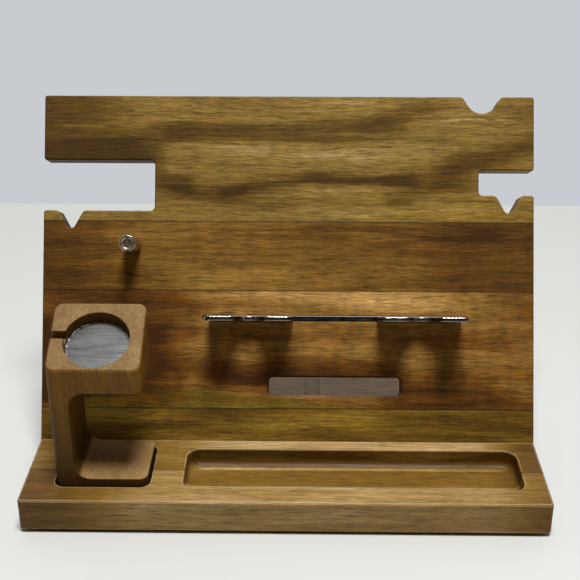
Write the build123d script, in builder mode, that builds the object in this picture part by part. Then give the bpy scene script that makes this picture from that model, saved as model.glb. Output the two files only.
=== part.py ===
# A wooden docking stand for a phone, a watch and pocket things.
# Millimetres. +Z is up, the front faces -Y, and the stand rests on z = 0.
# x = 0 is the middle of the width and y = 0 the middle of the depth.

import os
from math import cos, radians, sin

from build123d import *

# Base board
width = 305
base_depth = 150
base_thickness = 20
base_corner_round = 2
base_edge_chamfer = 0.8
base_front_stave = 32
base_middle_stave = 62

# Rubber feet
foot_width = 12
foot_height = 2
foot_corner_round = 2
foot_inset = 14

# Pen tray in the base
tray_width = 199
tray_length = 41
tray_depth = 11
tray_corner_round = 8
tray_cove = 4
tray_rim_chamfer = 0.6
tray_right_margin = 13.3
tray_front_margin = 14

# Leaning board
board_lean = 26.5
board_length = 214.5
board_thickness = 15
board_edge_chamfer = 0.8
board_setback = 64
board_seat = 8
glue_gap = 0.05
glue_line_heights = (20, 93, 136)

# Open slot for glasses, at the board's left edge
glasses_slot_length = 69.3
glasses_slot_height = 31.5
glasses_slot_bottom = 142.6
glasses_slot_round = 3
glasses_notch_inset = 16.9

# Small open slot, at the board's right edge
key_slot_length = 34.2
key_slot_height = 15.5
key_slot_bottom = 153.1
key_slot_round = 2.5
key_notch_inset = 15.6

# V notches under both slots, measured to their sharp corners
notch_half_width = 7.9
notch_depth = 14.2
notch_round = 3
slot_tip_round = 1.5

# Notch in the top edge
top_notch_inset = 32.3
top_notch_half_width = 12
top_notch_depth = 18.9
top_notch_round = 10
top_notch_shoulder_round = 2.5

# Steel phone rest: a plate with two forks and a flange behind the board
rest_centre = 29.5
rest_height = 75.9
rest_thickness = 3
rest_reach = 36
rest_edge_chamfer = 0.5
fork_width = 52
fork_spacing = 52
prong_gap = 16
prong_gap_depth = 24
prong_tip_round = 3
web_setback = 12
flange_height = 16
flange_bend_round = 2.5
flange_corner_round = 4
rest_slot_gap = 0.2
rest_slot_end_gap = 4.5
rest_slot_round = 1.5
rest_slot_edge_chamfer = 0.5

# Cable slot through the board
cable_slot_width = 82
cable_slot_height = 11.6
cable_slot_bottom = 27.9
cable_slot_round = 3
cable_slot_edge_chamfer = 1.2

# Cable channel in the base, behind the board
channel_width = 11.6
channel_depth = 3
channel_x = 15.6

# Steel peg
peg_x = -96.5
peg_height = 120.8
peg_radius = 5.2
peg_reach = 22
peg_rim = 0.9
peg_chamfer = 0.6
peg_dish_depth = 0.5

# Watch stand, in a recess of the base
stand_width = 53.2
stand_depth = 41.6
stand_front_height = 76.1
stand_column = 11.5
stand_foot_rise = 4.7
stand_opening_top = 61.5
stand_inner_round = 9.5
stand_corner_round = 5
stand_edge_chamfer = 0.8
stand_top_slope = 27.6
stand_left_margin = 19.3
stand_front_margin = 15.4
recess_depth = 6
recess_gap = 1.5

# Watch pocket, disc and cable groove in the stand's sloping top
pocket_radius = 19
pocket_depth = 9
pocket_from_front = 21
watch_disc_thickness = 1
watch_disc_gap = 0.25
watch_groove_width = 5.2
watch_groove_depth = 6
watch_groove_offset = 3.2

# Screws
screw_gap = 0.05
screw_end_bevel = 0.8
countersink_angle = 90
board_screw_radius = 2
board_screw_head_radius = 4
board_screw_length = 25
board_screw_spacing = 190
board_screw_behind_foot = 7
rest_screw_radius = 1.5
rest_screw_head_radius = 3
rest_screw_head_height = 1.8
rest_screw_head_bevel = 1
rest_screw_length = 12
rest_screw_spacing = 124
rest_screw_drop = 9
peg_screw_radius = 2
peg_screw_head_radius = 4
peg_screw_grip = 10
peg_hole_spare = 2

cut_margin = 5

# Levels and places that follow from the sizes above
lean = radians(board_lean)
base_top = foot_height + base_thickness
board_back_reach = (board_length - board_edge_chamfer) * sin(lean) + board_thickness * cos(lean)
back_reach = max(board_back_reach, base_depth - board_setback)
foot_line_y = (board_setback - back_reach) / 2
base_front_y = foot_line_y - board_setback
base_middle_y = base_front_y + base_depth / 2

# On the board's front face: X across, Y up the slope from the base top, Z out of the face
board_plane = Plane(
    origin=(0, foot_line_y, base_top),
    x_dir=(1, 0, 0),
    z_dir=(0, -cos(lean), sin(lean)),
)


def behind_board(x, height):
    # A plane on the board's back face, facing away from the board
    return Plane(
        origin=board_plane.from_local_coords((x, height, -board_thickness)),
        x_dir=(-1, 0, 0),
        z_dir=-board_plane.z_dir,
    )


def write(piece, name):
    piece.label = name
    export_step(piece, f"parts/{name}.step")


def make_flat_screw(head_radius, shank_radius, length):
    # Countersunk screw along +Z, its head's flat face at z = 0
    head_height = head_radius - shank_radius
    with BuildPart() as screw:
        with BuildSketch(Plane.XZ):
            with BuildLine():
                Polyline(
                    (0, 0),
                    (head_radius, 0),
                    (shank_radius, head_height),
                    (shank_radius, length - screw_end_bevel),
                    (shank_radius - screw_end_bevel, length),
                    (0, length),
                    close=True,
                )
            make_face()
        revolve(axis=Axis.Z)
    return screw.part


def make_pan_screw(head_radius, head_height, head_bevel, shank_radius, length):
    # Pan head screw along +Z, its head below z = 0
    with BuildPart() as screw:
        with BuildSketch(Plane.XZ):
            with BuildLine():
                Polyline(
                    (0, -head_height),
                    (head_radius - head_bevel, -head_height),
                    (head_radius, 0),
                    (shank_radius, 0),
                    (shank_radius, length - screw_end_bevel),
                    (shank_radius - screw_end_bevel, length),
                    (0, length),
                    close=True,
                )
            make_face()
        revolve(axis=Axis.Z)
    return screw.part


# Screw places: each plane's +Z points from the screw's head to its tip
board_screw_places = [
    Plane(origin=(x, foot_line_y + board_screw_behind_foot, foot_height))
    for x in (-board_screw_spacing / 2, board_screw_spacing / 2)
]
rest_screw_height = rest_height - rest_thickness / 2 - rest_screw_drop
rest_screw_places = [
    behind_board(x, rest_screw_height).offset(rest_thickness)
    for x in (rest_centre - rest_screw_spacing / 2, rest_centre + rest_screw_spacing / 2)
]
peg_back_plane = behind_board(peg_x, peg_height)
peg_root_plane = Plane(
    origin=board_plane.from_local_coords((peg_x, peg_height, 0)),
    x_dir=board_plane.x_dir,
    z_dir=board_plane.z_dir,
)


def notch_outline(centre, top, half_width, depth):
    # The three sharp corners of a V notch, taken from right to left
    return [(centre + half_width, top), (centre, top - depth), (centre - half_width, top)]


# Outline of the leaning board, once round from its lower left corner, with a radius per corner
left = -width / 2
right = width / 2
glasses_slot_top = glasses_slot_bottom + glasses_slot_height
glasses_slot_end = left + glasses_slot_length
key_slot_top = key_slot_bottom + key_slot_height
key_slot_end = right - key_slot_length
v_rounds = [notch_round, notch_round, notch_round]
top_rounds = [top_notch_shoulder_round, top_notch_round, top_notch_shoulder_round]

key_notch = notch_outline(right - key_notch_inset, key_slot_bottom, notch_half_width, notch_depth)
top_notch = notch_outline(
    right - top_notch_inset, board_length, top_notch_half_width, top_notch_depth
)
glasses_notch = notch_outline(
    left + glasses_notch_inset, glasses_slot_bottom, notch_half_width, notch_depth
)
board_corners = [
    (left, -board_seat),
    (right, -board_seat),
    (right, key_slot_bottom),
    *key_notch,
    (key_slot_end, key_slot_bottom),
    (key_slot_end, key_slot_top),
    (right, key_slot_top),
    (right, board_length),
    *top_notch,
    (left, board_length),
    (left, glasses_slot_top),
    (glasses_slot_end, glasses_slot_top),
    (glasses_slot_end, glasses_slot_bottom),
    *glasses_notch,
    (left, glasses_slot_bottom),
]
board_rounds = [
    0,
    0,
    slot_tip_round,
    *v_rounds,
    key_slot_round,
    key_slot_round,
    slot_tip_round,
    slot_tip_round,
    *top_rounds,
    slot_tip_round,
    slot_tip_round,
    glasses_slot_round,
    glasses_slot_round,
    *v_rounds,
    slot_tip_round,
]

rest_width = 2 * fork_width + fork_spacing
rest_slot_width = rest_width + 2 * rest_slot_end_gap
rest_slot_height = rest_thickness + 2 * rest_slot_gap
cable_slot_middle = cable_slot_bottom + cable_slot_height / 2

# The whole leaning board, before it is parted into its staves
with BuildPart() as board:
    with BuildSketch(board_plane):
        with BuildLine():
            FilletPolyline(board_corners, radius=board_rounds, close=True)
        make_face()
    extrude(amount=-board_thickness)
    board_faces = board.faces().filter_by(board_plane)
    seated_edges = board.edges().filter_by(
        lambda edge: board_plane.to_local_coords(edge.center()).Y < -board_seat + board_edge_chamfer
    )
    chamfer(board_faces.edges() - seated_edges, board_edge_chamfer)

    with BuildSketch(board_plane):
        with Locations((rest_centre, cable_slot_middle)):
            RectangleRounded(cable_slot_width, cable_slot_height, cable_slot_round)
    extrude(amount=-board_thickness, mode=Mode.SUBTRACT)
    slot_faces = board.faces().filter_by(board_plane)
    slot_edges = [edge for face in slot_faces for wire in face.inner_wires() for edge in wire.edges()]
    chamfer(slot_edges, cable_slot_edge_chamfer)

    with BuildSketch(board_plane):
        with Locations((rest_centre, rest_height)):
            RectangleRounded(rest_slot_width, rest_slot_height, rest_slot_round)
    extrude(amount=-board_thickness, mode=Mode.SUBTRACT)
    rest_slot_rim = board.edges(Select.LAST).filter_by(
        lambda edge: board_plane.to_local_coords(edge.center()).Z > -rest_slot_edge_chamfer
    )
    chamfer(rest_slot_rim, rest_slot_edge_chamfer)

    with Locations(peg_back_plane):
        CounterSinkHole(
            radius=peg_screw_radius + screw_gap,
            counter_sink_radius=peg_screw_head_radius + screw_gap,
            depth=board_thickness,
            counter_sink_angle=countersink_angle,
        )
    for place in board_screw_places:
        with BuildSketch(place):
            Circle(board_screw_radius + screw_gap)
        extrude(amount=board_screw_length, mode=Mode.SUBTRACT)
    for place in rest_screw_places:
        with BuildSketch(place.offset(-rest_thickness)):
            Circle(rest_screw_radius + screw_gap)
        extrude(amount=-(rest_screw_length - rest_thickness), mode=Mode.SUBTRACT)

# The board's four staves, numbered from the top down
stave_cuts = [
    Plane(
        origin=board_plane.from_local_coords((0, height, 0)),
        x_dir=board_plane.x_dir,
        z_dir=board_plane.y_dir,
    )
    for height in sorted(glue_line_heights, reverse=True)
]
backboard_staves = []
for number in range(len(stave_cuts) + 1):
    with BuildPart() as stave:
        add(board.part)
        if number < len(stave_cuts):
            split(bisect_by=stave_cuts[number], keep=Keep.TOP)
        if number > 0:
            split(bisect_by=stave_cuts[number - 1], keep=Keep.BOTTOM)
    backboard_staves.append(stave.part)

# Places on the base
tray_x = right - tray_right_margin - tray_width / 2
tray_y = base_front_y + tray_front_margin + tray_length / 2
tray_floor = base_top - tray_depth
stand_x = left + stand_left_margin + stand_width / 2
stand_y = base_front_y + stand_front_margin + stand_depth / 2
stand_floor = base_top - recess_depth
channel_length = base_depth - board_setback
groove_reach = base_thickness + board_thickness
foot_places = {
    f"foot_{side_name}": (side_x * (width / 2 - foot_inset), base_middle_y + side_y)
    for side_name, side_x, side_y in (
        ("front_left", -1, foot_inset - base_depth / 2),
        ("front_right", 1, foot_inset - base_depth / 2),
        ("back_left", -1, base_depth / 2 - foot_inset),
        ("back_right", 1, base_depth / 2 - foot_inset),
    )
}

# The whole base board, before it is parted into its staves
with BuildPart() as base:
    with BuildSketch(Plane.XY.offset(foot_height)):
        with Locations((0, base_middle_y)):
            RectangleRounded(width, base_depth, base_corner_round)
    extrude(amount=base_thickness)
    chamfer(base.faces().filter_by(Axis.Z).edges(), base_edge_chamfer)

    # Pen tray, with a cove round its floor and an eased rim
    with BuildSketch(Plane.XY.offset(base_top)):
        with Locations((tray_x, tray_y)):
            RectangleRounded(tray_width, tray_length, tray_corner_round)
    extrude(amount=-tray_depth, mode=Mode.SUBTRACT)
    top_face = base.faces().filter_by(Axis.Z).sort_by(Axis.Z)[-1]
    tray_bottom = base.faces().filter_by(Axis.Z).sort_by(Axis.Z)[1]
    tray_rim = top_face.inner_wires()[0].edges()
    fillet(tray_bottom.edges(), tray_cove)
    chamfer(tray_rim, tray_rim_chamfer)

    # Recess for the watch stand
    with BuildSketch(Plane.XY.offset(base_top)):
        with Locations((stand_x, stand_y)):
            RectangleRounded(
                stand_width + 2 * recess_gap,
                stand_depth + 2 * recess_gap,
                stand_corner_round + recess_gap,
            )
    extrude(amount=-recess_depth, mode=Mode.SUBTRACT)

    # Slanted groove for the leaning board
    with BuildSketch(board_plane.offset(glue_gap)):
        with Locations((0, groove_reach / 2 - board_seat)):
            Rectangle(width + 2 * cut_margin, groove_reach)
    extrude(amount=-(board_thickness + 2 * glue_gap), mode=Mode.SUBTRACT)

    # Cable channel from the leaning board to the back edge
    with BuildSketch(Plane.XY.offset(base_top)):
        with Locations((channel_x, foot_line_y + (channel_length + cut_margin) / 2)):
            Rectangle(channel_width, channel_length + cut_margin)
    extrude(amount=-channel_depth, mode=Mode.SUBTRACT)

    with Locations([place.rotated((180, 0, 0)) for place in board_screw_places]):
        CounterSinkHole(
            radius=board_screw_radius + screw_gap,
            counter_sink_radius=board_screw_head_radius + screw_gap,
            depth=base_thickness,
            counter_sink_angle=countersink_angle,
        )

# The base board's staves, numbered by place from the front
front_cut = Plane(
    origin=(0, base_front_y + base_front_stave, 0),
    x_dir=(1, 0, 0),
    z_dir=(0, 1, 0),
)
back_cut = front_cut.offset(base_middle_stave)
with BuildPart() as base_stave_front:
    add(base.part)
    split(bisect_by=front_cut, keep=Keep.BOTTOM)
with BuildPart() as base_stave_middle:
    add(base.part)
    split(bisect_by=front_cut, keep=Keep.TOP)
    split(bisect_by=back_cut, keep=Keep.BOTTOM)
with BuildPart() as base_stave_back:
    add(base.part)
    split(bisect_by=back_cut, keep=Keep.TOP)

# Phone rest: X across, Y out of the board, Z up the slope, from the plate's lower face
rest_plane = Plane(
    origin=board_plane.from_local_coords((rest_centre, rest_height - rest_thickness / 2, 0)),
    x_dir=(-1, 0, 0),
    z_dir=board_plane.y_dir,
)
plate_back = -board_thickness - rest_thickness
fork_x = (fork_spacing + fork_width) / 2
with BuildPart() as phone_rest:
    with BuildSketch(rest_plane) as plate:
        with Locations((0, (plate_back - web_setback) / 2)):
            Rectangle(rest_width, -web_setback - plate_back)
        with Locations((-fork_x, 0), (fork_x, 0)):
            with Locations((0, (rest_reach - web_setback) / 2)):
                Rectangle(fork_width, rest_reach + web_setback)
            with Locations((0, rest_reach - prong_gap_depth / 2 + prong_gap / 4)):
                Rectangle(prong_gap, prong_gap_depth - prong_gap / 2, mode=Mode.SUBTRACT)
            with Locations((0, rest_reach - prong_gap_depth + prong_gap / 2)):
                Circle(prong_gap / 2, mode=Mode.SUBTRACT)
        fillet(plate.vertices().group_by(Axis.Y)[-1], prong_tip_round)
    extrude(amount=rest_thickness)
    prong_edges = phone_rest.edges().filter_by(
        lambda edge: rest_plane.to_local_coords(edge.center()).Y > rest_edge_chamfer
    )
    plate_faces = phone_rest.faces().filter_by(rest_plane)
    chamfer([edge for edge in prong_edges if edge in plate_faces.edges()], rest_edge_chamfer)

    with BuildSketch(behind_board(rest_centre, rest_height + rest_thickness / 2)) as flange:
        with Locations((0, -(flange_height + rest_thickness) / 2)):
            Rectangle(rest_width, flange_height + rest_thickness)
        fillet(flange.vertices().group_by(Axis.Y)[0], flange_corner_round)
    extrude(amount=rest_thickness)
    bend_edge = phone_rest.edges().filter_by(Axis.X).sort_by(
        lambda edge: rest_plane.to_local_coords(edge.center()).Z
        - rest_plane.to_local_coords(edge.center()).Y
    )[-1]
    fillet(bend_edge, flange_bend_round)
    for place in rest_screw_places:
        with BuildSketch(place):
            Circle(rest_screw_radius + screw_gap)
        extrude(amount=-rest_thickness, mode=Mode.SUBTRACT)

# Steel peg, screwed on from behind: a turned pin with a rim round a shallow dish
with BuildPart() as key_peg:
    with BuildSketch(Plane.XZ) as peg_section:
        with BuildLine():
            Polyline(
                (0, 0),
                (peg_radius, 0),
                (peg_radius, peg_reach - peg_chamfer),
                (peg_radius - peg_chamfer, peg_reach),
                (peg_radius - peg_chamfer - peg_rim, peg_reach),
                (peg_radius - 2 * peg_chamfer - peg_rim, peg_reach - peg_dish_depth),
                (0, peg_reach - peg_dish_depth),
                close=True,
            )
        make_face()
    revolve(axis=Axis.Z)
    with Locations(Plane.XY.rotated((180, 0, 0))):
        Hole(peg_screw_radius + screw_gap, depth=peg_screw_grip + peg_hole_spare)
key_peg_part = peg_root_plane.location * key_peg.part

# Watch stand: X across, Y up, seen from the front, at its back face
stand_plane = Plane(
    origin=(stand_x, stand_y + stand_depth / 2, stand_floor),
    x_dir=(1, 0, 0),
    z_dir=(0, -1, 0),
)
stand_left = -stand_width / 2
stand_right = stand_width / 2
column_right = stand_left + stand_column
foot_top = recess_depth + stand_foot_rise
opening_top = recess_depth + stand_opening_top
stand_blank_height = recess_depth + stand_front_height + stand_depth

# On the stand's sloping top: X across, Y up the slope from the front edge, Z out of the wood
slope = radians(stand_top_slope)
slope_plane = Plane(
    origin=(stand_x, stand_y - stand_depth / 2, base_top + stand_front_height),
    x_dir=(1, 0, 0),
    z_dir=(0, -sin(slope), cos(slope)),
)
groove_run = stand_width / 2 + cut_margin
pocket_place = slope_plane.offset(-pocket_depth)
with BuildPart() as watch_stand:
    with BuildSketch(stand_plane):
        with BuildLine():
            FilletPolyline(
                [
                    (stand_left, 0),
                    (stand_right, 0),
                    (stand_right, foot_top),
                    (column_right, foot_top),
                    (column_right, opening_top),
                    (stand_right, opening_top),
                    (stand_right, stand_blank_height),
                    (stand_left, stand_blank_height),
                ],
                radius=[0, 0, 0, stand_inner_round, stand_inner_round, 0, 0, 0],
                close=True,
            )
        make_face()
    extrude(amount=stand_depth)
    split(bisect_by=slope_plane, keep=Keep.BOTTOM)
    outer_uprights = watch_stand.edges().filter_by(Axis.Z).filter_by(
        lambda edge: abs(abs(edge.center().X - stand_x) - stand_width / 2) < stand_edge_chamfer
    )
    fillet(outer_uprights, stand_corner_round)
    chamfer(watch_stand.faces().filter_by(slope_plane).edges(), stand_edge_chamfer)
    with BuildSketch(slope_plane):
        with Locations((0, pocket_from_front)):
            Circle(pocket_radius)
    extrude(amount=-pocket_depth, mode=Mode.SUBTRACT)
    with BuildSketch(slope_plane):
        with Locations((-groove_run / 2, pocket_from_front + watch_groove_offset)):
            Rectangle(groove_run, watch_groove_width)
    extrude(amount=-watch_groove_depth, mode=Mode.SUBTRACT)

# Metal disc on the pocket's floor
with BuildPart() as watch_disc:
    with BuildSketch(pocket_place):
        with Locations((0, pocket_from_front)):
            Circle(pocket_radius - watch_disc_gap)
    extrude(amount=watch_disc_thickness)

# Screws
board_screw = make_flat_screw(board_screw_head_radius, board_screw_radius, board_screw_length)
with BuildPart() as board_screws:
    with Locations(board_screw_places):
        add(board_screw)
rest_screw = make_pan_screw(
    rest_screw_head_radius,
    rest_screw_head_height,
    rest_screw_head_bevel,
    rest_screw_radius,
    rest_screw_length,
)
with BuildPart() as phone_rest_screws:
    with Locations([place.rotated((180, 0, 0)) for place in rest_screw_places]):
        add(rest_screw)
peg_screw_length = board_thickness + peg_screw_grip
peg_screw = make_flat_screw(peg_screw_head_radius, peg_screw_radius, peg_screw_length)
peg_screw_part = peg_back_plane.rotated((180, 0, 0)).location * peg_screw

# Write every piece
os.makedirs("parts", exist_ok=True)
write(base_stave_front.part, "base_stave_front")
write(base_stave_middle.part, "base_stave_middle")
write(base_stave_back.part, "base_stave_back")
for number, stave_part in enumerate(backboard_staves, start=1):
    write(stave_part, f"backboard_stave_{number}")
write(watch_stand.part, "watch_stand")
write(watch_disc.part, "watch_disc")
write(phone_rest.part, "phone_rest")
write(key_peg_part, "key_peg")
write(board_screws.part, "board_screws")
write(phone_rest_screws.part, "phone_rest_screws")
write(peg_screw_part, "peg_screw")
for name, (foot_x, foot_y) in foot_places.items():
    with BuildPart() as foot:
        with BuildSketch():
            with Locations((foot_x, foot_y)):
                RectangleRounded(foot_width, foot_width, foot_corner_round)
        extrude(amount=foot_height)
    write(foot.part, name)
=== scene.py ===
import math

import bpy
from mathutils import Matrix, Vector


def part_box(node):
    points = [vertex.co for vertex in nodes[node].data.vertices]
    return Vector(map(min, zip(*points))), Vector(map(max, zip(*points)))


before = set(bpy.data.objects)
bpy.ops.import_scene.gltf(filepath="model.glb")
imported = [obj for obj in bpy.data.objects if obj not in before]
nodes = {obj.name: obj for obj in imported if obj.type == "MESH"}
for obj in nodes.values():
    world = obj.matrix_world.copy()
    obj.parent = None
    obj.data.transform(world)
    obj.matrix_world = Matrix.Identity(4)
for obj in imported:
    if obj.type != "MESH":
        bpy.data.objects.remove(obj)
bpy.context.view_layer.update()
print("frame loaded:", len(nodes), "nodes")

mm = 0.001

# The leaning board's own directions: up its slope and out of its front face.
boardLean = math.radians(26.5)
boardUp = Vector((0, math.sin(boardLean), math.cos(boardLean)))
boardOut = Vector((0, -math.cos(boardLean), math.sin(boardLean)))
boardSetback = 64 * mm
baseFront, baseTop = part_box("base_stave_front")[0].y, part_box("base_stave_front")[1].z
footLine = Vector((0, baseFront + boardSetback, baseTop))

# Most values of a noise lie between these two.
noiseRange = (0.3, 0.7)


def metres(lengths):
    return [length * mm for length in lengths]


def addNode(tree, kind, **settings):
    # The settings are the node's own properties, by name.
    node = tree.nodes.new(kind)
    for name, value in settings.items():
        setattr(node, name, value)
    return node


def plug(tree, value, socket):
    # A number, a colour or another node's output goes into a socket.
    if isinstance(value, bpy.types.NodeSocket):
        tree.links.new(value, socket)
    elif isinstance(value, (tuple, list, Vector)) and len(socket.default_value) == 4:
        socket.default_value = (*value[:3], 1)
    else:
        socket.default_value = value


def maths(tree, operation, first, second=0.0, third=0.0):
    node = addNode(tree, "ShaderNodeMath", operation=operation)
    for socket, value in zip(node.inputs, (first, second, third)):
        plug(tree, value, socket)
    return node.outputs[0]


def total(tree, *values):
    result = values[0]
    for value in values[1:]:
        result = maths(tree, "ADD", result, value)
    return result


def swing(tree, value, amount):
    # A noise value about its middle, times an amount.
    return maths(tree, "MULTIPLY", maths(tree, "SUBTRACT", value, 0.5), amount)


def vectorMaths(tree, operation, first, second=(0, 0, 0)):
    node = addNode(tree, "ShaderNodeVectorMath", operation=operation)
    plug(tree, first, node.inputs[0])
    plug(tree, second, node.inputs[1])
    return node.outputs[1] if operation in ("LENGTH", "DOT_PRODUCT") else node.outputs[0]


def split(tree, vector):
    node = addNode(tree, "ShaderNodeSeparateXYZ")
    tree.links.new(vector, node.inputs[0])
    return node.outputs[0], node.outputs[1], node.outputs[2]


def join(tree, x, y, z):
    node = addNode(tree, "ShaderNodeCombineXYZ")
    for socket, value in zip(node.inputs, (x, y, z)):
        plug(tree, value, socket)
    return node.outputs[0]


def remap(tree, value, low, high, toLow=0.0, toHigh=1.0):
    # Eases from toLow to toHigh while the value goes from low to high.
    node = addNode(tree, "ShaderNodeMapRange", clamp=True, interpolation_type="SMOOTHSTEP")
    for socket, given in zip(node.inputs, (value, low, high, toLow, toHigh)):
        plug(tree, given, socket)
    return node.outputs[0]


def noise(tree, vector, scale, detail=2.0, roughness=0.55):
    # Scale is in cells per metre along each axis.
    node = addNode(tree, "ShaderNodeTexNoise")
    plug(tree, vectorMaths(tree, "MULTIPLY", vector, scale), node.inputs["Vector"])
    node.inputs["Scale"].default_value = 1.0
    node.inputs["Detail"].default_value = detail
    node.inputs["Roughness"].default_value = roughness
    return node.outputs[0]


def mixColor(tree, amount, first, second, blend="MIX"):
    # The Mix node has its colours in inputs 6 and 7 and in output 2.
    node = addNode(tree, "ShaderNodeMix", data_type="RGBA", blend_type=blend, clamp_factor=True)
    plug(tree, amount, node.inputs[0])
    plug(tree, first, node.inputs[6])
    plug(tree, second, node.inputs[7])
    return node.outputs[2]


def shade(tree, color, tone):
    return mixColor(tree, 1.0, color, join(tree, tone, tone, tone), "MULTIPLY")


def colorRamp(tree, value, stops):
    node = addNode(tree, "ShaderNodeValToRGB")
    plug(tree, value, node.inputs[0])
    elements = node.color_ramp.elements
    while len(elements) < len(stops):
        elements.new(0.5)
    for element, (position, color) in zip(elements, stops):
        element.position = position
        element.color = (*color, 1)
    return node.outputs[0]


def bump(tree, height, strength, distance, normal):
    node = addNode(tree, "ShaderNodeBump")
    node.inputs["Strength"].default_value = strength
    node.inputs["Distance"].default_value = distance
    tree.links.new(height, node.inputs["Height"])
    tree.links.new(normal, node.inputs["Normal"])
    return node.outputs[0]


def newGroup(name, inputs, outputs):
    # A shader node group with named sockets; returns the tree, its inputs and its outputs.
    tree = bpy.data.node_groups.new(name, "ShaderNodeTree")
    kinds = {"number": "NodeSocketFloat", "vector": "NodeSocketVector"}
    for socketName, kind in inputs:
        tree.interface.new_socket(name=socketName, in_out="INPUT", socket_type=kinds[kind])
    for socketName, kind in outputs:
        tree.interface.new_socket(name=socketName, in_out="OUTPUT", socket_type=kinds[kind])
    enter = tree.nodes.new("NodeGroupInput")
    leave = tree.nodes.new("NodeGroupOutput")
    return tree, enter.outputs, leave.inputs


def useGroup(tree, group, values):
    node = tree.nodes.new("ShaderNodeGroup")
    node.node_tree = group
    for name, value in values.items():
        plug(tree, value, node.inputs[name])
    return node.outputs


def newMaterial(name):
    material = bpy.data.materials.new(name)
    material.use_nodes = True
    tree = material.node_tree
    return material, tree, tree.nodes["Principled BSDF"]


def dress(node, material):
    mesh = nodes[node].data
    mesh.materials.clear()
    mesh.materials.append(material)


def framePlace(tree):
    # The shaded point, in metres in the frame.
    return addNode(tree, "ShaderNodeTexCoord").outputs["Object"]


def frameNormal(tree):
    return addNode(tree, "ShaderNodeTexCoord").outputs["Normal"]


# Effects that several materials share are node groups, built once.
grainNoise = {
    "Wander": {"scale": (7, 16, 16)},
    "Curl": {"scale": (36, 42, 42)},
    "Broad": {"scale": (6, 75, 60)},
    "Vein": {"scale": (17, 260, 260), "detail": 3, "roughness": 0.6},
    "Streak": {"scale": (30, 1150, 1150), "detail": 3, "roughness": 0.62},
    "Fibre": {"scale": (150, 1900, 1900), "detail": 1},
    "Pores": {"scale": (75, 1100, 1100), "detail": 0},
    "Ripple": {"scale": (110, 60, 60)},
}
poreRange = (0.6, 0.74)  # where a pore begins, and where it is full
seedSlant = 0.37  # a seed moves the wood along its grain, and this much across it


def makeGrainGroup():
    # Sawn wood as a solid: X runs along the grain, Y across the face, Z through the thickness.
    layers = ("Broad", "Vein", "Streak", "Fibre", "Pores", "Ripple")
    tree, given, result = newGroup(
        "woodGrain",
        [("Vector", "vector"), ("Seed", "number"), ("Wander", "number"), ("Curl", "number")],
        [("Flow", "vector")] + [(name, "number") for name in layers],
    )
    seedAcross = maths(tree, "MULTIPLY", given["Seed"], seedSlant)
    seedShift = join(tree, given["Seed"], seedAcross, 0.0)
    moved = vectorMaths(tree, "ADD", given["Vector"], seedShift)

    # The fibres wander slowly and curl a little, so that no line runs straight.
    wander = swing(tree, noise(tree, moved, **grainNoise["Wander"]), given["Wander"])
    curl = swing(tree, noise(tree, moved, **grainNoise["Curl"]), given["Curl"])
    flow = vectorMaths(tree, "ADD", moved, join(tree, 0.0, total(tree, wander, curl), wander))
    plug(tree, vectorMaths(tree, "SUBTRACT", flow, seedShift), result["Flow"])

    for name in ("Broad", "Vein", "Streak", "Fibre"):
        plug(tree, noise(tree, flow, **grainNoise[name]), result[name])
    pores = noise(tree, flow, **grainNoise["Pores"])
    plug(tree, remap(tree, pores, *poreRange), result["Pores"])
    plug(tree, noise(tree, moved, **grainNoise["Ripple"]), result["Ripple"])
    return tree


raggedNoise = {"scale": (14, 260, 120), "detail": 3, "roughness": 0.6}


def makeBandGroup():
    # One band of figure: its middle follows y = Y0 + Slope x, and its sides are ragged.
    numbers = ("Ragged", "Y0", "Slope", "Width", "Soft", "From X", "To X", "Fade")
    tree, given, result = newGroup(
        "figureBand",
        [("Vector", "vector")] + [(name, "number") for name in numbers],
        [("Mask", "number")],
    )
    x, y = split(tree, given["Vector"])[:2]
    line = maths(tree, "MULTIPLY_ADD", x, given["Slope"], given["Y0"])
    shift = swing(tree, noise(tree, given["Vector"], **raggedNoise), given["Ragged"])
    away = maths(tree, "ABSOLUTE", maths(tree, "SUBTRACT", total(tree, y, shift), line))
    inner = maths(tree, "MULTIPLY", given["Width"], maths(tree, "SUBTRACT", 1.0, given["Soft"]))
    across = remap(tree, away, given["Width"], inner)
    begin = remap(tree, maths(tree, "SUBTRACT", x, given["From X"]), 0.0, given["Fade"])
    end = remap(tree, maths(tree, "SUBTRACT", given["To X"], x), 0.0, given["Fade"])
    plug(tree, maths(tree, "MULTIPLY", across, maths(tree, "MULTIPLY", begin, end)), result["Mask"])
    return tree


easing = {
    "samples": 4,
    "turn": (0.995, 0.8),  # cosines between the rounded normal and the face's own
}


def makeEdgeGroup():
    # Where an edge is eased: its rounded normal, and a mask that is 1 on the edge.
    tree, given, result = newGroup(
        "easedEdge", [("Radius", "number")], [("Normal", "vector"), ("Mask", "number")]
    )
    bevel = addNode(tree, "ShaderNodeBevel", samples=easing["samples"])
    plug(tree, given["Radius"], bevel.inputs["Radius"])
    flat = addNode(tree, "ShaderNodeNewGeometry").outputs["Normal"]
    alike = vectorMaths(tree, "DOT_PRODUCT", bevel.outputs[0], flat)
    plug(tree, remap(tree, alike, *easing["turn"]), result["Mask"])
    plug(tree, bevel.outputs[0], result["Normal"])
    return tree


grainGroup = makeGrainGroup()
bandGroup = makeBandGroup()
edgeGroup = makeEdgeGroup()
print("node groups built")


def easeEdges(tree, look):
    return useGroup(tree, edgeGroup, {"Radius": look["edgeRadius"] * mm})


def addRelief(tree, shader, height, look, edge):
    # Fine relief, on top of the rounded normal of the eased edges.
    relief = bump(tree, height, look["bump"], look["bumpDepth"] * mm, edge["Normal"])
    plug(tree, relief, shader.inputs["Normal"])


def baseCoordinates(tree):
    # Straight from the middle of the line where the leaning board's front face meets the base.
    return vectorMaths(tree, "SUBTRACT", framePlace(tree), footLine)


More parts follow.
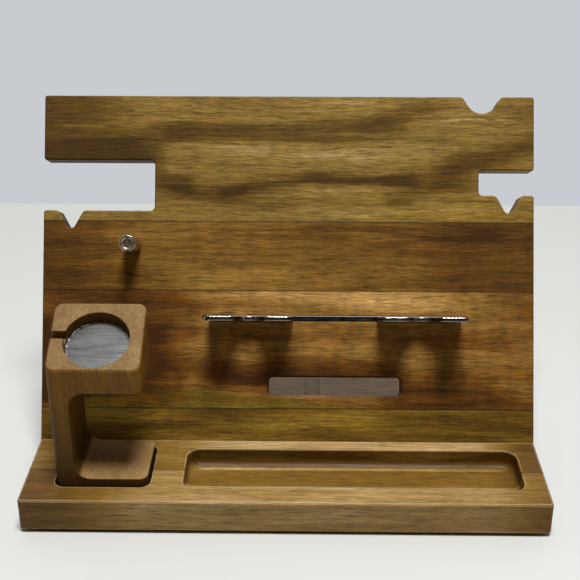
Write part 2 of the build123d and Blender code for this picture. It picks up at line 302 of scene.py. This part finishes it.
def boardCoordinates(tree):
    # Across the board, up its slope and out of its face, from the same point.
    fromFoot = baseCoordinates(tree)
    across = vectorMaths(tree, "DOT_PRODUCT", fromFoot, (1, 0, 0))
    upward = vectorMaths(tree, "DOT_PRODUCT", fromFoot, boardUp)
    outward = vectorMaths(tree, "DOT_PRODUCT", fromFoot, boardOut)
    return join(tree, across, upward, outward)


def standCoordinates(tree):
    # The stand's grain runs upright, so its top face shows end grain.
    x, y, z = split(tree, framePlace(tree))
    return join(tree, z, x, y)


# What a band has where its own row doesn't say
plainBand = {"slope": 0.0, "ragged": 16, "soft": 1.0, "fade": 30}


def bandMask(tree, vector, row):
    band = {**plainBand, **row}
    start, end = metres(band["span"])
    values = {
        "Vector": vector,
        "Ragged": band["ragged"] * mm,
        "Y0": band["y"] * mm,
        "Slope": band["slope"],
        "Width": band["width"] * mm,
        "Soft": band["soft"],
        "From X": start,
        "To X": end,
        "Fade": band["fade"] * mm,
    }
    return useGroup(tree, bandGroup, values)["Mask"]


def makeWood(name, look, coordinates, grainAxis):
    # The last argument is the frame's axis that the grain runs along.
    material, tree, shader = newMaterial(name)
    vector = coordinates(tree)
    settings = {
        "Vector": vector,
        "Seed": look["seed"],
        "Wander": look["wander"] * mm,
        "Curl": look["curl"] * mm,
    }
    grain = useGroup(tree, grainGroup, settings)

    # The tone says how bright the wood is: slow figure and veins, then the listed bands.
    veins = swing(tree, grain["Vein"], look["vein"])
    tone = total(tree, look["tone"], swing(tree, grain["Broad"], look["broad"]), veins)
    for band in look["bands"]:
        place = vector if band.get("straight") else grain["Flow"]
        lift = maths(tree, "MULTIPLY", bandMask(tree, place, band), band["lift"])
        tone = total(tree, tone, lift)
    color = colorRamp(tree, tone, look["colors"])
    for stain in look["stains"]:
        amount = maths(tree, "MULTIPLY", bandMask(tree, grain["Flow"], stain), stain["amount"])
        color = mixColor(tree, amount, color, stain["color"], "MULTIPLY")

    # Short fibres and ripples lighten and darken whatever lies below them.
    fine = total(
        tree,
        1.0,
        swing(tree, grain["Streak"], look["streak"]),
        swing(tree, grain["Fibre"], look["fibre"]),
        swing(tree, grain["Ripple"], look["ripple"]),
    )
    color = shade(tree, color, fine)

    # End grain has a tint of its own.
    endOn = maths(tree, "ABSOLUTE", split(tree, frameNormal(tree))[grainAxis])
    ends = remap(tree, endOn, *look["endTurn"])
    color = mixColor(tree, ends, color, look["endTint"], "MULTIPLY")
    if "lowShade" in look:
        # Low down, painted shade darkens the sides, and painted light makes faces that show end grain paler.
        low = look["lowShade"]
        height = split(tree, framePlace(tree))[2]
        sides = remap(tree, height, *metres(low["height"]), low["sides"], 1.0)
        tops = remap(tree, height, *metres(low["height"]), low["tops"], 1.0)
        side = maths(tree, "SUBTRACT", 1.0, ends)
        sideShade = maths(tree, "MULTIPLY", sides, side)
        topShade = maths(tree, "MULTIPLY", tops, ends)
        color = shade(tree, color, total(tree, sideShade, topShade))

    poreAmount = maths(tree, "MULTIPLY", grain["Pores"], look["pores"])
    color = mixColor(tree, poreAmount, color, look["poreColor"])
    edge = easeEdges(tree, look)
    # Painted highlight: the eased edges are made paler, as where light catches them.
    edgeLit = maths(tree, "MULTIPLY", edge["Mask"], look["edgeHighlight"])
    across = split(tree, vector)[1]
    for joint in look["joints"]:
        # Glue lines show dark and fine, and the painted edge highlight stops short of them.
        away = maths(tree, "ABSOLUTE", maths(tree, "SUBTRACT", across, joint * mm))
        edgeLit = maths(tree, "MULTIPLY", edgeLit, remap(tree, away, *metres(look["jointUnlit"])))
        line = remap(tree, away, *metres(look["jointLine"]), look["jointShade"], 1.0)
        color = shade(tree, color, line)
    color = mixColor(tree, edgeLit, color, look["edgeHighlightColor"])
    plug(tree, color, shader.inputs["Base Color"])

    rough = remap(tree, grain["Streak"], *noiseRange, *look["roughness"])
    plug(tree, rough, shader.inputs["Roughness"])
    fibres = maths(tree, "MULTIPLY", grain["Fibre"], look["fibreRelief"])
    addRelief(tree, shader, maths(tree, "SUBTRACT", fibres, grain["Pores"]), look, edge)
    shader.inputs["Specular IOR Level"].default_value = look["specular"]
    return material


# Lengths are in millimetres. A tone of 0 gives the first colour and 1 the last.
plainWood = {
    "wander": 9.0,
    "curl": 1.4,
    "tone": 0.5,
    "broad": 0.8,
    "vein": 0.5,
    "streak": 1.25,
    "fibre": 1.6,
    "ripple": 0.4,
    "colors": [
        (0.0, (0.046, 0.022, 0.0025)),
        (0.35, (0.112, 0.062, 0.0085)),
        (0.65, (0.220, 0.138, 0.031)),
        (1.0, (0.400, 0.290, 0.122)),
    ],
    "bands": [],
    "stains": [],
    "joints": [136, 93, 20],  # glue lines, up the board from its foot
    "jointShade": 0.5,
    "jointLine": (0.25, 0.75),
    "jointUnlit": (0.8, 1.8),
    "endTint": (0.45, 0.42, 0.40),
    "endTurn": (0.6, 0.85),
    "pores": 0.4,
    "poreColor": (0.030, 0.014, 0.003),
    "edgeRadius": 0.8,
    # Painted highlight on eased edges: how strong it is, and its colour
    "edgeHighlight": 0.25,
    "edgeHighlightColor": (0.30, 0.19, 0.07),
    "roughness": (0.63, 0.49),
    "specular": 0.12,
    "bump": 0.3,
    "bumpDepth": 0.1,
    "fibreRelief": 0.6,
}

staveLooks = {
    # Top stave: golden brown with two long dark streaks that close round a light lens
    "backboard_stave_1": {
        **plainWood,
        "seed": 3.0,
        "tone": 0.56,
        "broad": 0.4,
        "vein": 0.6,
        "bands": [
            # Upper streak, in three lengths
            {"y": 202.9, "slope": 0.156, "width": 9, "lift": -0.34, "span": (-180, -50), "fade": 25},
            {"y": 193.3, "slope": 0.02, "width": 8.5, "lift": -0.42, "span": (-85, 85), "fade": 30},
            {"y": 190.2, "slope": 0.18, "width": 8, "lift": -0.3, "span": (30, 112), "fade": 30},
            # Dark left end
            {"y": 196, "width": 32, "lift": -0.42, "span": (-250, -85), "fade": 50, "soft": 0.5},
            {
                "y": 178,
                "slope": 0.02,
                "width": 14,
                "lift": -0.5,
                "span": (-200, -70),
                "fade": 20,
                "soft": 0.8,
            },
            # Lower streak
            {"y": 160, "width": 10, "lift": -0.42, "span": (-98, -54), "fade": 12, "soft": 0.7},
            {"y": 154, "width": 7, "lift": -0.42, "span": (-84, -12), "fade": 24},
            {"y": 162, "slope": 0.16, "width": 6.5, "lift": -0.42, "span": (-52, 34), "fade": 24},
            {"y": 163.5, "width": 7, "lift": -0.5, "span": (4, 88), "fade": 25},
            {"y": 162, "width": 12, "lift": -0.34, "span": (50, 128), "fade": 30},
            # Right end, and small marks
            {"y": 138.5, "slope": 0.3, "width": 12, "lift": -0.42, "span": (80, 250), "fade": 30},
            {"y": 206, "width": 14, "lift": -0.14, "span": (108, 250), "fade": 20},
            {"y": 195, "slope": 0.04, "width": 2, "lift": 0.22, "span": (84, 150), "fade": 20, "ragged": 5},
            {"y": 156.5, "width": 2.5, "lift": -0.4, "span": (-75, -67), "fade": 4, "ragged": 2},
            {"y": 149, "width": 5, "lift": -0.25, "span": (55, 85), "fade": 12},
            {"y": 148, "width": 8, "lift": -0.15, "span": (-90, 15), "fade": 30},
            # Light lens between the streaks, and light marks round them
            {"y": 181, "width": 9, "lift": 0.17, "span": (-68, 5), "fade": 25},
            {"y": 179.5, "slope": 0.03, "width": 9, "lift": 0.14, "span": (-10, 105), "fade": 30},
            {"y": 142, "width": 7, "lift": 0.12, "span": (-10, 160), "fade": 50},
            {"y": 194.5, "width": 2.5, "lift": 0.3, "span": (-150, -110), "fade": 12, "ragged": 4},
            {"y": 209, "width": 6, "lift": 0.12, "span": (-20, 70), "fade": 30},
        ],
        "stains": [
            {"y": 140, "width": 16, "amount": 0.6, "color": (1.0, 0.99, 0.6), "span": (20, 200), "fade": 60},
        ],
    },
    # Second stave: redder and darker, darkest at both ends
    "backboard_stave_2": {
        **plainWood,
        "seed": 8.0,
        "tone": 0.45,
        "broad": 0.6,
        "ripple": 0.7,
        "colors": [
            (0.0, (0.038, 0.014, 0.0010)),
            (0.35, (0.106, 0.047, 0.0055)),
            (0.65, (0.220, 0.120, 0.021)),
            (1.0, (0.360, 0.228, 0.062)),
        ],
        "bands": [
            {"y": 115, "width": 60, "lift": -0.26, "span": (-400, -95), "fade": 45, "soft": 0.3},
            {"y": 110, "slope": 0.05, "width": 60, "lift": -0.24, "span": (72, 400), "fade": 40, "soft": 0.3},
            {"y": 102, "width": 14, "lift": 0.22, "span": (-90, 30), "fade": 40, "ragged": 30},
            {"y": 131, "slope": 0.02, "width": 4, "lift": -0.15, "span": (-60, 150), "fade": 40},
            {"y": 117, "slope": 0.1, "width": 4, "lift": -0.22, "span": (40, 160), "fade": 40},
        ],
    },
    # Third stave: golden at the top, reddish low, paler sapwood at its lower left
    "backboard_stave_3": {
        **plainWood,
        "seed": 14.0,
        "tone": 0.50,
        "curl": 4.0,
        "ripple": 1.1,
        "colors": [
            (0.0, (0.042, 0.014, 0.0010)),
            (0.35, (0.116, 0.045, 0.0045)),
            (0.65, (0.230, 0.122, 0.026)),
            (1.0, (0.440, 0.262, 0.084)),
        ],
        "bands": [
            {"y": 89, "width": 14, "lift": 0.25, "span": (-75, 125), "fade": 50},
            {"y": 86, "width": 9, "lift": 0.08, "span": (25, 115), "fade": 30},
            {"y": 88, "width": 20, "lift": -0.2, "span": (112, 250), "fade": 25},
            {"y": 80, "width": 30, "lift": -0.27, "span": (-400, -50), "fade": 45, "soft": 0.8},
            {"y": 48, "width": 34, "lift": -0.62, "span": (-400, -50), "fade": 45, "soft": 0.6},
            {"y": 62, "width": 13, "lift": 0.08, "span": (-20, 75), "fade": 25},
            {"y": 46, "width": 9, "lift": -0.28, "span": (-30, 75), "fade": 25},
            {"y": 38, "slope": -0.05, "width": 10, "lift": -0.42, "span": (-60, 150), "fade": 35},
            {"y": 24, "slope": -0.05, "width": 14, "lift": -0.34, "span": (50, 250), "fade": 35},
        ],
        "stains": [
            {
                "y": 38,
                "slope": -0.06,
                "width": 5,
                "amount": 0.8,
                "color": (1.25, 0.72, 0.45),
                "span": (-30, 60),
            },
            {
                "y": 7.2,
                "slope": -0.08,
                "width": 20,
                "soft": 0.08,
                "amount": 1.0,
                "color": (0.8, 1.0, 0.55),
                "span": (-400, 70),
                "fade": 20,
                "ragged": 4,
            },
        ],
    },
    # Lowest stave: olive with dark wavy streaks
    "backboard_stave_4": {
        **plainWood,
        "seed": 21.0,
        "tone": 0.38,
        "broad": 1.1,
        "colors": [
            (0.0, (0.036, 0.018, 0.0015)),
            (0.35, (0.098, 0.052, 0.005)),
            (0.65, (0.195, 0.115, 0.013)),
            (1.0, (0.340, 0.225, 0.040)),
        ],
        "bands": [
            {"y": 10, "width": 4, "lift": -0.3, "span": (-110, -40), "fade": 25},
            {"y": 12, "width": 14, "lift": 0.22, "span": (-40, 75), "fade": 30},
            {"y": 10, "width": 30, "lift": -0.08, "span": (80, 250), "fade": 30},
        ],
    },
}
# The base's glue line, and its bands, are in millimetres from the board's foot, less than 0 in front.
baseJoint = (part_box("base_stave_middle")[0].y - footLine.y) / mm
baseLook = {
    **plainWood,
    "joints": [baseJoint],
    "jointShade": 0.82,
    "broad": 0.6,
    "vein": 0.55,
    "streak": 0.8,
    "fibre": 1.1,
    "ripple": 0.3,
    "colors": [
        (0.0, (0.080, 0.038, 0.005)),
        (0.35, (0.160, 0.086, 0.012)),
        (0.65, (0.240, 0.148, 0.044)),
        (1.0, (0.450, 0.312, 0.152)),
    ],
    "poreColor": (0.055, 0.028, 0.007),
    "edgeRadius": 1.0,
    # A stronger, paler painted highlight on the base's eased edges
    "edgeHighlight": 1.0,
    "edgeHighlightColor": (0.74, 0.58, 0.34),
    "endTint": (0.78, 0.75, 0.72),
    "roughness": (0.53, 0.39),
    "specular": 0.18,
}
darkEnd = {"y": 0, "width": 300, "lift": -0.42, "span": (118, 400), "fade": 35, "soft": 0.1}
darkLeft = {"y": 0, "width": 300, "lift": -0.62, "span": (-400, -75), "fade": 60, "soft": 0.1}
paleStrip = {
    "y": -3.5,
    "width": 5.6,
    "lift": 0.47,
    "span": (-75, 150),
    "fade": 40,
    "soft": 0.4,
    "ragged": 3,
}
# Along the back of the tray: its shaded cove, and the lit strip of floor in front of that
shadedCove = {
    "y": -10.3,
    "width": 1.6,
    "lift": -0.8,
    "span": (-59, 139),
    "fade": 2,
    "soft": 0.5,
    "ragged": 0.6,
    "straight": True,
}
litFloor = {
    "y": -14.2,
    "width": 1.9,
    "lift": 0.45,
    "span": (-57, 137),
    "fade": 8,
    "soft": 0.7,
    "ragged": 0.8,
    "straight": True,
}
baseLooks = {
    "base_stave_front": {**baseLook, "seed": 30.0, "tone": 0.70, "bands": [darkEnd, darkLeft]},
    "base_stave_middle": {
        **baseLook,
        "seed": 37.0,
        "tone": 0.37,
        "bands": [darkEnd, paleStrip, shadedCove, litFloor],
    },
    # Paler than the other staves, as painted light: its top lies in the board's shade yet shows bright
    # through the cable slot
    "base_stave_back": {
        **baseLook,
        "seed": 44.0,
        "endTint": (0.8, 0.8, 0.8),
        "colors": [
            (0.0, (0.225, 0.146, 0.072)),
            (0.35, (0.300, 0.208, 0.116)),
            (0.65, (0.355, 0.258, 0.154)),
            (1.0, (0.425, 0.325, 0.212)),
        ],
    },
}
standLook = {
    **plainWood,
    "joints": [],
    "seed": 52.0,
    "tone": 0.5,
    "broad": 0.5,
    "vein": 0.5,
    "streak": 0.5,
    "fibre": 0.9,
    "ripple": 0.3,
    "wander": 5.0,
    "curl": 1.0,
    "colors": [
        (0.0, (0.056, 0.023, 0.0025)),
        (0.35, (0.104, 0.047, 0.0055)),
        (0.65, (0.152, 0.074, 0.010)),
        (1.0, (0.225, 0.121, 0.022)),
    ],
    "endTint": (1.46, 1.84, 5.5),
    # Painted shade on the stand's lower sides, and painted light on the top of its foot
    "lowShade": {"height": (17, 95), "sides": 0.36, "tops": 1.3},  # full at 17 mm up, none at 95
    "pores": 0.5,
    "poreColor": (0.055, 0.030, 0.010),
    # Painted highlight on the stand's eased edges
    "edgeHighlightColor": (0.28, 0.18, 0.08),
}

for node, look in staveLooks.items():
    dress(node, makeWood(node + "Wood", look, boardCoordinates, 0))
for node, look in baseLooks.items():
    dress(node, makeWood(node + "Wood", look, baseCoordinates, 0))
dress("watch_stand", makeWood("standWood", standLook, standCoordinates, 2))
print("wood dressed")


def makeSteel(name, look, direction):
    # Polished steel, darker on its cut faces: cutTurn tells them by how squarely they face direction.
    material, tree, shader = newMaterial(name)
    facing = vectorMaths(tree, "DOT_PRODUCT", frameNormal(tree), direction)
    isCut = remap(tree, maths(tree, "ABSOLUTE", facing), *look["cutTurn"])
    place = framePlace(tree)
    smudge = noise(tree, place, **look["smudge"])
    mottle = noise(tree, place, **look["mottle"])
    bright = shade(tree, look["bright"], remap(tree, smudge, *noiseRange, *look["smudgeTone"]))
    dark = shade(tree, look["dark"], remap(tree, mottle, *look["mottleRange"], *look["mottleTone"]))
    color = mixColor(tree, isCut, bright, dark)
    edge = easeEdges(tree, look)
    # Painted highlight: the eased edges are made paler, as where light catches them.
    edgeLit = maths(tree, "MULTIPLY", edge["Mask"], look["edgeHighlight"])
    color = mixColor(tree, edgeLit, color, look["edgeHighlightColor"])
    plug(tree, color, shader.inputs["Base Color"])
    rough = remap(tree, smudge, *noiseRange, *look["roughness"])
    plug(tree, rough, shader.inputs["Roughness"])
    addRelief(tree, shader, mottle, look, edge)
    shader.inputs["Metallic"].default_value = 1.0
    return material


plateLook = {
    "bright": (0.40, 0.36, 0.33),
    "dark": (0.055, 0.043, 0.038),
    "cutTurn": (0.6, 0.3),
    "smudge": {"scale": (110, 110, 110), "detail": 3},
    "smudgeTone": (0.85, 1.1),
    "mottle": {"scale": (150, 700, 700), "detail": 3, "roughness": 0.65},
    "mottleRange": (0.35, 0.65),
    "mottleTone": (0.4, 1.9),
    "roughness": (0.15, 0.27),
    "edgeRadius": 0.5,
    # Painted highlight on the plate's eased edges
    "edgeHighlight": 0.9,
    "edgeHighlightColor": (0.70, 0.60, 0.54),
    "bump": 0.1,
    "bumpDepth": 0.05,
}
pegLook = {
    **plateLook,
    "bright": (0.34, 0.27, 0.20),
    "dark": (0.17, 0.13, 0.085),
    # A paler painted highlight on the peg's rim
    "edgeHighlightColor": (0.85, 0.80, 0.72),
    "cutTurn": (0.9, 0.98),
    "mottle": {"scale": (600, 600, 600), "detail": 3, "roughness": 0.65},
    "roughness": (0.17, 0.29),
    "edgeRadius": 0.3,
    "bump": 1.0,
}
screwLook = {
    **plateLook,
    "bright": (0.50, 0.49, 0.46),
    "dark": (0.40, 0.39, 0.37),
    "cutTurn": (0.9, 0.98),
    "roughness": (0.27, 0.39),
}
dress("phone_rest", makeSteel("polishedPlate", plateLook, boardUp))
dress("key_peg", makeSteel("turnedPeg", pegLook, boardOut))
screwSteel = makeSteel("platedScrew", screwLook, boardOut)
for node in ("board_screws", "phone_rest_screws", "peg_screw"):
    dress(node, screwSteel)


def makeDisc():
    # Brushed steel, with pale flecks of glue left round its rim.
    look = {
        "color": (0.106, 0.108, 0.106),
        "brushed": {"scale": (28, 1500, 1500), "detail": 3, "roughness": 0.65},
        "brushedTone": (0.86, 1.14),
        "patches": {"scale": (120, 260, 260), "detail": 3},
        "patchTone": (0.85, 1.1),
        "fleck": (0.40, 0.40, 0.385),
        "speckle": {"scale": (420, 620, 620)},
        "fleckRange": (0.50, 0.60),
        "rim": (16.2, 18.2),
        "roughness": (0.27, 0.33),
        "edgeRadius": 0.2,
        "bump": 0.4,
        "bumpDepth": 0.05,
    }
    material, tree, shader = newMaterial("brushedDisc")
    low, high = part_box("watch_disc")
    fromMiddle = vectorMaths(tree, "SUBTRACT", framePlace(tree), (low + high) / 2)
    brushed = noise(tree, fromMiddle, **look["brushed"])
    patches = noise(tree, fromMiddle, **look["patches"])
    streaks = remap(tree, brushed, *noiseRange, *look["brushedTone"])
    blotches = remap(tree, patches, *noiseRange, *look["patchTone"])
    color = shade(tree, look["color"], maths(tree, "MULTIPLY", streaks, blotches))
    radius = vectorMaths(tree, "LENGTH", fromMiddle)
    nearRim = remap(tree, radius, *metres(look["rim"]))
    speckle = noise(tree, fromMiddle, **look["speckle"])
    fleck = remap(tree, maths(tree, "MULTIPLY", speckle, nearRim), *look["fleckRange"])
    plug(tree, mixColor(tree, fleck, color, look["fleck"]), shader.inputs["Base Color"])
    plug(tree, maths(tree, "SUBTRACT", 1.0, fleck), shader.inputs["Metallic"])
    rough = remap(tree, brushed, *noiseRange, *look["roughness"])
    plug(tree, rough, shader.inputs["Roughness"])
    addRelief(tree, shader, total(tree, brushed, fleck), look, easeEdges(tree, look))
    return material


def makeRubber():
    look = {
        "color": (0.022, 0.022, 0.023),
        "dust": (0.085, 0.080, 0.075),
        "grain": {"scale": (400, 400, 400), "detail": 4},
        "dustRange": (0.45, 0.8),
        "roughness": (0.6, 0.8),
        "edgeRadius": 0.4,
        "bump": 0.2,
        "bumpDepth": 0.1,
    }
    material, tree, shader = newMaterial("footRubber")
    grain = noise(tree, framePlace(tree), **look["grain"])
    dusty = remap(tree, grain, *look["dustRange"])
    plug(tree, mixColor(tree, dusty, look["color"], look["dust"]), shader.inputs["Base Color"])
    rough = remap(tree, grain, *noiseRange, *look["roughness"])
    plug(tree, rough, shader.inputs["Roughness"])
    addRelief(tree, shader, grain, look, easeEdges(tree, look))
    return material


dress("watch_disc", makeDisc())
footRubber = makeRubber()
for node in nodes:
    if node.startswith("foot_"):
        dress(node, footRubber)
print("metal and rubber dressed")


def makeFloor():
    # Lengths are in metres. Painted light: the floor is made a little paler near the camera than at the back.
    look = {
        "halfWidth": 2.0,
        "front": -2.5,
        "back": 0.45,
        "color": (0.50, 0.52, 0.515),
        "paintedLightFrom": (-0.35, 0.25),
        "paintedLightTones": (1.09, 0.96),
        "roughness": 0.7,
    }
    mesh = bpy.data.meshes.new("floor")
    corners = [
        (-look["halfWidth"], look["front"], 0),
        (look["halfWidth"], look["front"], 0),
        (look["halfWidth"], look["back"], 0),
        (-look["halfWidth"], look["back"], 0),
    ]
    mesh.from_pydata(corners, [], [(0, 1, 2, 3)])
    floor = bpy.data.objects.new("floor", mesh)
    bpy.context.scene.collection.objects.link(floor)
    material, tree, shader = newMaterial("paleTable")
    away = split(tree, framePlace(tree))[1]
    # Painted light, paler towards the camera
    tone = remap(tree, away, *look["paintedLightFrom"], *look["paintedLightTones"])
    plug(tree, shade(tree, look["color"], tone), shader.inputs["Base Color"])
    shader.inputs["Roughness"].default_value = look["roughness"]
    mesh.materials.append(material)


def makeWorld():
    # A room with a pale wall behind the object and a darker side in front of it.
    look = {
        "wall": (0.578, 0.602, 0.637),
        "wallLight": (0.85, 0.86, 0.88),
        "roomLight": (0.092, 0.045, 0.010),
        "roomShine": (0.27, 0.27, 0.265),
        "ceilingShine": (0.48, 0.48, 0.47),
        "wallFrom": (-0.1, 0.6),  # a ray's share along +Y where the wall begins and is full
        "ceilingFrom": (0.35, 0.8),  # the same along +Z for the ceiling
    }
    world = bpy.data.worlds.new("paleRoom")
    bpy.context.scene.world = world
    world.use_nodes = True
    tree = world.node_tree
    background = tree.nodes["Background"]
    path = addNode(tree, "ShaderNodeLightPath").outputs
    toward = split(tree, addNode(tree, "ShaderNodeTexCoord").outputs["Generated"])
    behind = remap(tree, toward[1], *look["wallFrom"])
    above = remap(tree, toward[2], *look["ceilingFrom"])
    diffuse = mixColor(tree, behind, look["roomLight"], look["wallLight"])
    shine = mixColor(tree, behind, look["roomShine"], look["wall"])
    shine = mixColor(tree, above, shine, look["ceilingShine"])
    glossy = maths(tree, "MAXIMUM", path["Is Glossy Ray"], path["Is Transmission Ray"])
    color = mixColor(tree, glossy, diffuse, shine)
    color = mixColor(tree, path["Is Camera Ray"], color, look["wall"])
    plug(tree, color, background.inputs["Color"])
    background.inputs["Strength"].default_value = 1.0


def addLamp(name, look):
    lamp = bpy.data.lights.new(name, "AREA")
    lamp.shape = "DISK"
    lamp.size = look["size"]
    lamp.energy = look["power"]
    lamp.color = look["color"]
    light = bpy.data.objects.new(name, lamp)
    toLamp = Vector(look["toward"]).normalized()
    light.location = Vector(look["aim"]) + toLamp * look["distance"]
    light.rotation_euler = toLamp.to_track_quat("Z", "Y").to_euler()
    bpy.context.scene.collection.objects.link(light)


ceilingLamp = {
    "toward": (0.055, -0.20, 0.98),
    "aim": (0.0, 0.0, 0.10),
    "distance": 2.2,
    "size": 0.74,
    "power": 69.0,
    "color": (1.0, 0.99, 0.965),
}
makeFloor()
makeWorld()
addLamp("ceilingLamp", ceilingLamp)


def placeCamera():
    # The photograph's viewpoint, found from the stand's straight edges.
    # Place is in millimetres from the board's foot, the angles are in degrees.
    shot = {
        "place": (10.1, -579.4, 374.3),
        "pitch": 25.06,
        "yaw": 0.796,
        "roll": 0.016,
        "focalPixels": 1104.5,
        "framePixels": 580,
        "sensor": 36,
        "nearest": 0.01,  # metres
    }
    pitch, yaw, roll = (math.radians(shot[key]) for key in ("pitch", "yaw", "roll"))
    ahead = Vector((-math.sin(yaw) * math.cos(pitch), math.cos(yaw) * math.cos(pitch), -math.sin(pitch)))
    level = Vector((math.cos(yaw), math.sin(yaw), 0))
    upright = level.cross(ahead)
    across = math.cos(roll) * level + math.sin(roll) * upright
    upward = math.cos(roll) * upright - math.sin(roll) * level
    data = bpy.data.cameras.new("photoCamera")
    data.sensor_width = shot["sensor"]
    data.sensor_fit = "HORIZONTAL"
    data.lens = shot["sensor"] * shot["focalPixels"] / shot["framePixels"]
    data.clip_start = shot["nearest"]
    camera = bpy.data.objects.new("photoCamera", data)
    turn = Matrix((across, upward, -ahead)).transposed().to_4x4()
    camera.matrix_world = Matrix.Translation(footLine + Vector(shot["place"]) * mm) @ turn
    bpy.context.scene.collection.objects.link(camera)
    bpy.context.scene.camera = camera


placeCamera()
bpy.context.scene.view_settings.view_transform = "Standard"
print("stage, light and camera set")
